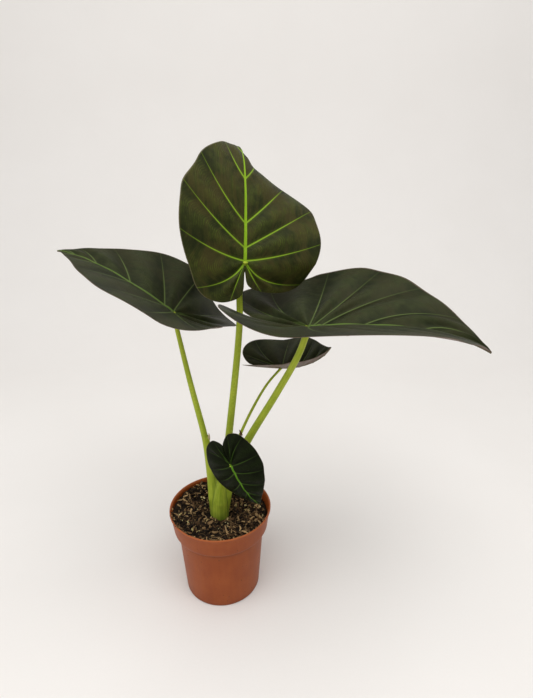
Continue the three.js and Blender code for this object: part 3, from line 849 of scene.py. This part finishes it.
# %% Corm
corm_skin = Finish("corm_skin", Roughness=0.85)
rings = corm_skin.noise(6, detail=3, at=corm_skin.place((0.2, 0.2, 1.6))).step(0.35, 0.65)
corm_skin.colour(corm_skin.mix(rings, (0.10, 0.065, 0.03), (0.26, 0.20, 0.10)))
corm_skin.bump(rings + corm_skin.noise(1.1, detail=4), 0.4)
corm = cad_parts["corm"]
for material_slot in corm.material_slots:
    material_slot.material = corm_skin.material
print("corm keeps its solid's shape and gets", corm_skin.material.name)

# %% [markdown]
# ## Pot plastic
# The pot is drawn from one sheet of terracotta-coloured plastic, satin and a little uneven. It is
# brighter and more orange at the thin lip, where light shines through, has painted shade in the
# hollow under the collar, and is faintly ringed by the mould. Earth has dried on the collar in
# specks and a few smears.

# %% Plastic
RIM, _, POT_TOP = (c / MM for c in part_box("pot")[1])   # lip radius and height, in mm
print("pot", round(2 * RIM), "mm across,", round(POT_TOP), "mm tall")
COLLAR_HEIGHT = 26
step_z = POT_TOP - COLLAR_HEIGHT
plastic = Finish("pot_plastic", Specular_IOR_Level=0.24)
height = Value(plastic, plastic.node("ShaderNodeSeparateXYZ", None, {0: plastic.place()}).outputs["Z"])
cloud = plastic.noise(26, detail=3)
flow = plastic.noise(5, detail=4, at=plastic.place((1, 1, 0.15)))
fine = plastic.noise(0.5, detail=2)
uneven = (cloud * 0.6 + flow * 0.4).step(0.3, 0.7)
shell = plastic.mix(uneven, (0.242, 0.0470, 0.0056), (0.300, 0.0675, 0.0110))
shell = plastic.mix(height.step(POT_TOP - 2.4, POT_TOP - 0.5) * 0.6, shell, (0.43, 0.120, 0.034))
shell = plastic.mix(height.step(10, 0) * 0.3, shell, (0.17, 0.042, 0.0135))
# painted shade: a darker band on the body just under the collar's step, where the collar shades it
shade = height.step(step_z - 9, step_z - 3) * height.step(step_z + 1.2, step_z - 0.6)
shell = plastic.mix(shade * 0.42, shell, (0.115, 0.027, 0.0085))
specks = plastic.cells(6).step(0.17, 0.09) * plastic.noise(13).step(0.50, 0.62)
smears = plastic.noise(6, detail=5, rough=0.7, warp=0.6).step(0.66, 0.74) * height.step(75, 112) * 0.6
dirt = specks.math("MAXIMUM", smears)
plastic.colour(plastic.mix(dirt * 0.75, shell, (0.085, 0.05, 0.028)))
plastic.rough(0.38 + flow * 0.12 + dirt * 0.4 + fine * 0.06)
rings_up = (height * 2.6 + cloud * 1.5).sine() * 0.12
plastic.bump(rings_up + fine * 0.12 + dirt * 0.8 + cloud * 0.6, 0.14)

# %% [markdown]
# ## Profile of the pot
# Turned about its axis, one closed line gives the whole wall: up the tapered body, out by a rounded
# step to the flared collar, over the rolled lip and down the inside. Sharp corners are first
# replaced with short arcs, because moulded plastic has none.

# %% Pot profile
COLLAR_FLARE, COLLAR_STEP, STEP_DROP = 3.0, 5.0, 3.0
WALL, FLOOR, BASE_RADIUS = 1.4, 2.0, 45.0
collar_top = RIM - 1.2
collar_low = collar_top - COLLAR_FLARE
body_top = collar_low - COLLAR_STEP


def rounded(corners, steps=5):
    """Corners are (radius, height, rounding); each inner one becomes an arc."""
    out = [corners[0][:2]]
    for before, corner, after in zip(corners, corners[1:], corners[2:]):
        a, c, e = (np.array(p[:2], float) for p in (before, corner, after))
        back, on = np.linalg.norm(a - c), np.linalg.norm(e - c)
        cut = min(corner[2], 0.45 * back, 0.45 * on)
        start = c + cut * (a - c) / back
        end = c + cut * (e - c) / on
        for t in np.linspace(0, 1, steps):
            out.append(tuple((1 - t) ** 2 * start + 2 * t * (1 - t) * c + t ** 2 * end))
    return out + [corners[-1][:2]]


def spaced(profile, spacing=3.0):
    """The same line with extra points where it runs straight for long."""
    out = [np.array(profile[0], float)]
    for corner in profile[1:]:
        start = out[-1]
        count = max(1, int(np.linalg.norm(np.array(corner) - start) / spacing))
        out += [start + (np.array(corner) - start) * (i + 1) / count for i in range(count)]
    return np.array(out)


profile = spaced(rounded([
    (0, 0, 0), (BASE_RADIUS - 0.8, 0, 0.4), (BASE_RADIUS, 1.0, 0.8),
    (body_top, step_z - STEP_DROP, 3.0), (collar_low, step_z, 2.4),
    (collar_top, POT_TOP - 2.8, 0.5), (RIM, POT_TOP - 2.4, 0.5), (RIM, POT_TOP, 0.9),
    (RIM - 1.3, POT_TOP, 0.8), (collar_top - WALL, POT_TOP - 2.4, 0.6),
    (collar_low - WALL, step_z + 0.7, 2.4), (body_top - WALL, step_z + 0.7 - STEP_DROP, 3.0),
    (BASE_RADIUS - WALL, FLOOR, 1.4), (0, FLOOR, 0)]))
print("pot profile", len(profile), "points")

# %% [markdown]
# ## Turning the pot
# The line is turned in 180 steps about the upright axis. The rim is a touch out of round, as thin
# plastic always is.

# %% Turned pot
TURNS = 180
angle = np.linspace(0, 2 * math.pi, TURNS, endpoint=False)
near_rim = np.clip((profile[:, 1] - 60) / (POT_TOP - 60), 0, 1)[:, None]
waver = 0.3 * near_rim * (np.sin(2 * angle + 0.7) - 1)[None, :]
radius = np.where(profile[:, :1] > 1, profile[:, :1] + waver, 0)
points = np.stack([radius * np.cos(angle), radius * np.sin(angle),
                   np.repeat(profile[:, 1:], TURNS, 1)], -1).reshape(-1, 3)
pot = make_piece("nursery_pot", points, grid_faces(len(profile), TURNS, closed=True),
                 plastic.material, slot="pot", replaces=["pot"])
weld(pot)
print("pot turned,", len(pot.data.vertices), "points")

# %% [markdown]
# ## Drain holes and foot
# Eight drain holes go through the floor, and six shallow arches in the foot let the water out from
# under it. They go right through, so they are cut with a boolean and a set of drums, all at once.
# Shading stays sharp where two faces meet at more than 40 degrees.

# %% Drain holes and foot arches
def drum(centre, axis_x, axis_y, axis_z, sides=24):
    """A closed drum between centre - axis_z and centre + axis_z."""
    turned = np.linspace(0, 2 * math.pi, sides, endpoint=False)[:, None]
    ring = np.array(centre) + np.cos(turned) * np.array(axis_x) + np.sin(turned) * np.array(axis_y)
    points = np.vstack([ring - np.array(axis_z), ring + np.array(axis_z)])
    faces = grid_faces(2, sides, closed=True)
    faces.append(tuple(range(sides))[::-1])
    faces.append(tuple(range(sides, 2 * sides)))
    return points, faces


DRAIN_CIRCLE = BASE_RADIUS - WALL - 10
drums = []
for a in np.arange(8) * math.pi / 4:
    centre = (DRAIN_CIRCLE * math.cos(a), DRAIN_CIRCLE * math.sin(a), 1)
    drums.append(drum(centre, (4, 0, 0), (0, 4, 0), (0, 0, 2.5)))
for a in (np.arange(6) + 0.5) * math.pi / 3 + math.pi / 2:
    outwards = np.array((math.cos(a), math.sin(a), 0))
    sideways = np.array((-outwards[1], outwards[0], 0))
    drums.append(drum(outwards * 44.6, sideways * 11, (0, 0, 1.2), outwards * 5))
points, faces = gather(drums)
cutter = make_piece("cutter", points, faces, plastic.material)
cut = pot.modifiers.new("cut", "BOOLEAN")
cut.operation = "DIFFERENCE"
cut.solver = "EXACT"
cut.object = cutter
apply_modifiers(pot)
bpy.data.objects.remove(cutter)
shape = bmesh.new()
shape.from_mesh(pot.data)
for edge in shape.edges:
    edge.smooth = edge.calc_face_angle(0) < math.radians(40)
shape.to_mesh(pot.data)
shape.free()
print("pot", len(pot.data.vertices), "points")

# %% [markdown]
# ## The soil bed
# The mix is dark, coarse and springy. It is heaped up to the lip on the left and lies lower on the
# right and round the stalks. One function gives its height anywhere, so that whatever lies on the
# soil later can ask for it. The finish is nearly black, with browner clods and grains.

# %% Soil height and finish
earth = Finish("potting_mix", Roughness=0.95, Specular_IOR_Level=0.12)
clods = earth.noise(2.2, detail=5, rough=0.7)
grains = earth.cells(1.5)
dark_earth = earth.mix(earth.noise(12, detail=2), (0.004, 0.003, 0.002), (0.013, 0.009, 0.005))
earth.colour(earth.mix((clods * 0.8 + grains * 0.4).step(0.5, 0.85), dark_earth, (0.05, 0.033, 0.02)))
earth.bump(clods + grains * 0.8, 1.2)


SOIL_RADIUS = 55   # in mm, about where the bed meets the wall


def soil_height(x, y):
    """Height of the bed in mm at one place: a shallow dish, heaped to the left, and lumps."""
    reach = math.hypot(x, y) / SOIL_RADIUS
    leftward = (-0.87 * x + 0.5 * y) / SOIL_RADIUS
    heap = 7.5 * np.clip(leftward + 0.18, 0, 0.75) / 0.75 * reach
    lumps = 2.3 * noise.noise(Vector((x, y, 3)) / 8) + 1.8 * noise.noise(Vector((x, y, 9)) / 3.6)
    return CROWN + 1.0 + 1.2 * reach ** 2 + heap + lumps


higher = float(soil_height(-45, 20) - soil_height(45, -20))
print("soil stands", round(higher, 1), "mm higher at the left")

# %% [markdown]
# ## A solid bed
# The bed is a lumpy disc that just fails to touch the wall, closed below so that it fills the pot.
# The loose pieces that catch the light lie on top of it.

# %% Soil bed
SPOKES = 200
spoke = np.linspace(0, 2 * math.pi, SPOKES, endpoint=False)
points = [(0, 0, soil_height(0, 0))]
for r in np.linspace(0, SOIL_RADIUS + 0.4, 64)[1:]:
    ring = [(r * math.cos(a), r * math.sin(a)) for a in spoke]
    points += [(x, y, soil_height(x, y)) for x, y in ring]
# Three rings close to the wall carry the bed down to the floor of the pot.
for r, z in ((54.2, step_z + 1.6), (49.0, step_z - 2.0), (43.2, 2.7)):
    points += [(r * math.cos(a), r * math.sin(a), z) for a in spoke]
rings = (len(points) - 1) // SPOKES
faces = [(0, 1 + i, 1 + (i + 1) % SPOKES) for i in range(SPOKES)]
faces += [tuple(1 + i for i in face) for face in grid_faces(rings, SPOKES, closed=True, flip=True)]
faces.append(tuple(len(points) - SPOKES + i for i in range(SPOKES)))
bed = make_piece("soil_bed", points, faces, earth.material, slot="soil", replaces=["potting_soil"])
weld(bed)
print("soil bed", len(points), "points")

# %% [markdown]
# ## Shreds of bark and wood
# The coarse part of the mix is shredded bark and coir, from nearly black to the colour of straw.
# One finish serves every piece, by a tone from 0 to 1 that is stored with it, and a fine grain
# darkens parts of each.

# %% Shred finish
wood = Finish("bark_shred", Roughness=0.85, Specular_IOR_Level=0.18)
tone = wood.stored("tone")
grain = wood.noise(0.8, detail=4, rough=0.6)
brown = wood.mix(tone.step(0.10, 0.55), (0.0055, 0.0032, 0.0018), (0.125, 0.068, 0.029))
brown = wood.mix(tone.step(0.50, 1.0), brown, (0.62, 0.41, 0.19))
wood.colour(wood.mix(grain.step(0.4, 0.75) * 0.6, brown, (0.03, 0.018, 0.01)))
wood.bump(grain, 0.35)
print("bark shred,", len(wood.tree.nodes), "nodes")

# %% [markdown]
# ## One splinter
# A splinter is a short strip with four corners, swept along a bent line and narrower at its ends.
# Its direction, slope and bend are drawn at random, from a generator with a fixed seed, so that
# every run gives the same soil. Points that would stick through the wall are drawn back inside.

# %% Splinters
rng = np.random.default_rng(11)
SHRED_RINGS = 5
SHRED_POINTS = 4 * SHRED_RINGS


def scatter(count, outer=52.5):
    """Places on the soil bed, clear of the stem."""
    places = []
    while len(places) < count:
        r = math.sqrt(rng.uniform(0, outer ** 2))
        a = rng.uniform(0, 2 * math.pi)
        x, y = r * math.cos(a), r * math.sin(a)
        if ((x - 0.5) / 12) ** 2 + ((y + 0.5) / 11.5) ** 2 > 1:
            places.append((x, y, soil_height(x, y)))
    return places


def shred(place, length, width, thick):
    """A bent, tapered splinter: four-cornered rings along a bent line."""
    heading = rng.uniform(0, 2 * math.pi)
    climb = np.clip(rng.normal(0, 0.38), -0.6, 0.6)
    bend = rng.normal(0, 0.8)
    t = np.linspace(-0.5, 0.5, SHRED_RINGS)
    turned = heading + bend * t
    way = np.stack([np.cos(turned), np.sin(turned), np.full(SHRED_RINGS, math.tan(climb))], -1)
    line = way * t[:, None] * length
    line[:, 2] += thick * rng.uniform(-0.5, 1.2) + 0.12 * length * abs(climb)
    side = np.stack([-np.sin(turned), np.cos(turned), np.full(SHRED_RINGS, rng.normal(0, 0.6))], -1)
    side /= np.linalg.norm(side, axis=1)[:, None]
    over = np.cross(np.gradient(line, axis=0), side)
    over /= np.linalg.norm(over, axis=1)[:, None]
    broad = width / 2 * (1 - 1.2 * np.abs(t)) * rng.uniform(0.7, 1.3, SHRED_RINGS)
    corners = [line + s * broad[:, None] * side + h * thick / 2 * over
               for s, h in ((1, 1), (-1, 1), (-1, -1), (1, -1))]
    points = np.stack(corners, 1).reshape(-1, 3) + np.array(place)
    ends = [(3, 2, 1, 0), tuple(range(SHRED_POINTS - 4, SHRED_POINTS))]
    return points, grid_faces(SHRED_RINGS, 4, closed=True) + ends


def keep_inside(points, limit=55.2):
    """Draws points that stick out back to the inside of the wall."""
    points = np.array(points)
    reach = np.linalg.norm(points[:, :2], axis=1)
    points[:, :2] *= np.minimum(1, limit / reach)[:, None]
    return points

# %% [markdown]
# ## Three sizes of shred
# The mix is sieved into fine crumbs, bark pieces up to a centimetre long and a few long
# slivers. Each size is one mesh, lying at all angles over the bed. More pieces are dark than pale.

# %% Shreds
def make_shreds(name, places, lengths, widths, thicks, tones, material):
    shapes = [shred(*each) for each in zip(places, lengths, widths, thicks)]
    points, faces = gather(shapes)
    values = dict(tone=np.repeat(tones, SHRED_POINTS))
    make_piece(name, keep_inside(points), faces, material, values, smooth=False, slot="soil")
    print(name, len(shapes))


SHRED_SIZES = (("fine_shreds", 1100, 4.5, 1.6), ("bark_shreds", 600, 10.5, 3.4),
               ("long_shreds", 190, 15, 3.0))   # name, count, longest and broadest in mm
for name, count, longest, broadest in SHRED_SIZES:
    lengths = rng.uniform(0.35, 1.0, count) * longest
    widths = rng.uniform(0.35, 1.0, count) * broadest
    places, tones = scatter(count), rng.beta(0.55, 1.1, count)
    make_shreds(name, places, lengths, widths, 0.3 * widths + 0.3, tones, wood.material)

# %% [markdown]
# ## Roots and fibres
# Thin fibres and dry rootlets curl over the surface, thickest round the foot of the stem. Each is a
# slim tube along a wandering line that stays close above the bed.

# %% Fibres
def wander(place, length, lift, curl, steps=11):
    """A line that strays over the bed from one place, arched by `lift` in its middle."""
    x, y, _ = place
    heading = rng.uniform(0, 2 * math.pi)
    line = []
    for i in range(steps):
        line.append((x, y, soil_height(x, y) + 0.7 + lift * math.sin(math.pi * i / (steps - 1))))
        heading += curl / steps + rng.normal(0, 0.2)
        x += math.cos(heading) * length / steps
        y += math.sin(heading) * length / steps
    return np.array([p for p in line if math.hypot(p[0], p[1]) < 54])


def make_fibres(name, places, longest, thickest):
    shapes, tones = [], []
    for place in places:
        line = wander(place, rng.uniform(0.4, 1) * longest, rng.uniform(0, 3), rng.normal(0, 2.2))
        if len(line) < 4:
            continue
        radii = rng.uniform(0.4, 1) * thickest * (1 - 0.55 * np.linspace(-1, 1, len(line)) ** 2)
        shapes.append(tube(line, radii, sides=5))
        tones += [rng.uniform(0.2, 0.85)] * (len(line) * 5)
    points, faces = gather(shapes)
    make_piece(name, points, faces, wood.material, dict(tone=tones), slot="soil")
    print(name, len(shapes))


make_fibres("root_fibres", scatter(80, outer=50), 26, 0.34)
make_fibres("stem_roots", scatter(26, outer=19), 24, 0.65)

# %% [markdown]
# ## Pale husks
# A few pale yellow husks and grains stand out against the dark mix. They lie in loose groups, most
# of them in front of the stem and near the left wall.

# %% Husks
husk = Finish("pale_husk", Roughness=0.7)
pale = husk.stored("tone") * 0.7 + husk.noise(1.2) * 0.3
husk.colour(husk.mix(pale, (0.42, 0.33, 0.09), (0.76, 0.66, 0.34)))
husk.bump(husk.noise(0.7, detail=3), 0.2)
HUSK_GROUPS = ((2, -18, 9, 5), (-13, -10, 6, 4), (-22, 20, 7, 5), (-42, -14, 6, 6),
               (26, 12, 7, 5), (-28, -26, 5, 6))   # each is x, y, count and spread
places = scatter(26)
for x, y, count, spread in HUSK_GROUPS:
    around = rng.normal(0, spread, (count, 2)) + (x, y)
    places += [(px, py, soil_height(px, py) + 1.0) for px, py in around]
count = len(places)
make_shreds("pale_husks", places, rng.uniform(1.5, 4.6, count), rng.uniform(0.8, 2.4, count),
            rng.uniform(0.5, 0.9, count), rng.uniform(0, 1, count), husk.material)

# %% [markdown]
# ## Spilt crumbs
# A little of the mix has spilt over the lip at the front left and lies on the rim.

# %% Crumbs on the rim
shapes, tones = [], []
for _ in range(46):
    a = math.radians(rng.normal(212, 15))
    r = RIM - rng.uniform(0.6, 4.5)
    place = (r * math.cos(a), r * math.sin(a), POT_TOP - 0.5 - 0.5 * max(0, RIM - 2 - r))
    shapes.append(shred(place, rng.uniform(1.2, 5), rng.uniform(0.7, 1.6), rng.uniform(0.4, 0.8)))
    tones += [rng.beta(1.2, 1.4)] * SHRED_POINTS
points, faces = gather(shapes)
make_piece("spilt_crumbs", keep_inside(points, limit=RIM + 0.5), faces, wood.material,
           dict(tone=tones), smooth=False, slot="soil")
print("spilt crumbs", len(shapes))

# %% [markdown]
# ## Finished size
# The dressed plant must stay the size of the solid model, so both boxes are printed, lowest
# corner first, in metres.

# %% Print sizes
boxes = {"frame": size_before, "dressed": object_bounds()}
boxes = {key: [[float(c) for c in corner] for corner in corners] for key, corners in boxes.items()}
for key, corners in boxes.items():
    print(key, [[round(c, 4) for c in corner] for corner in corners])
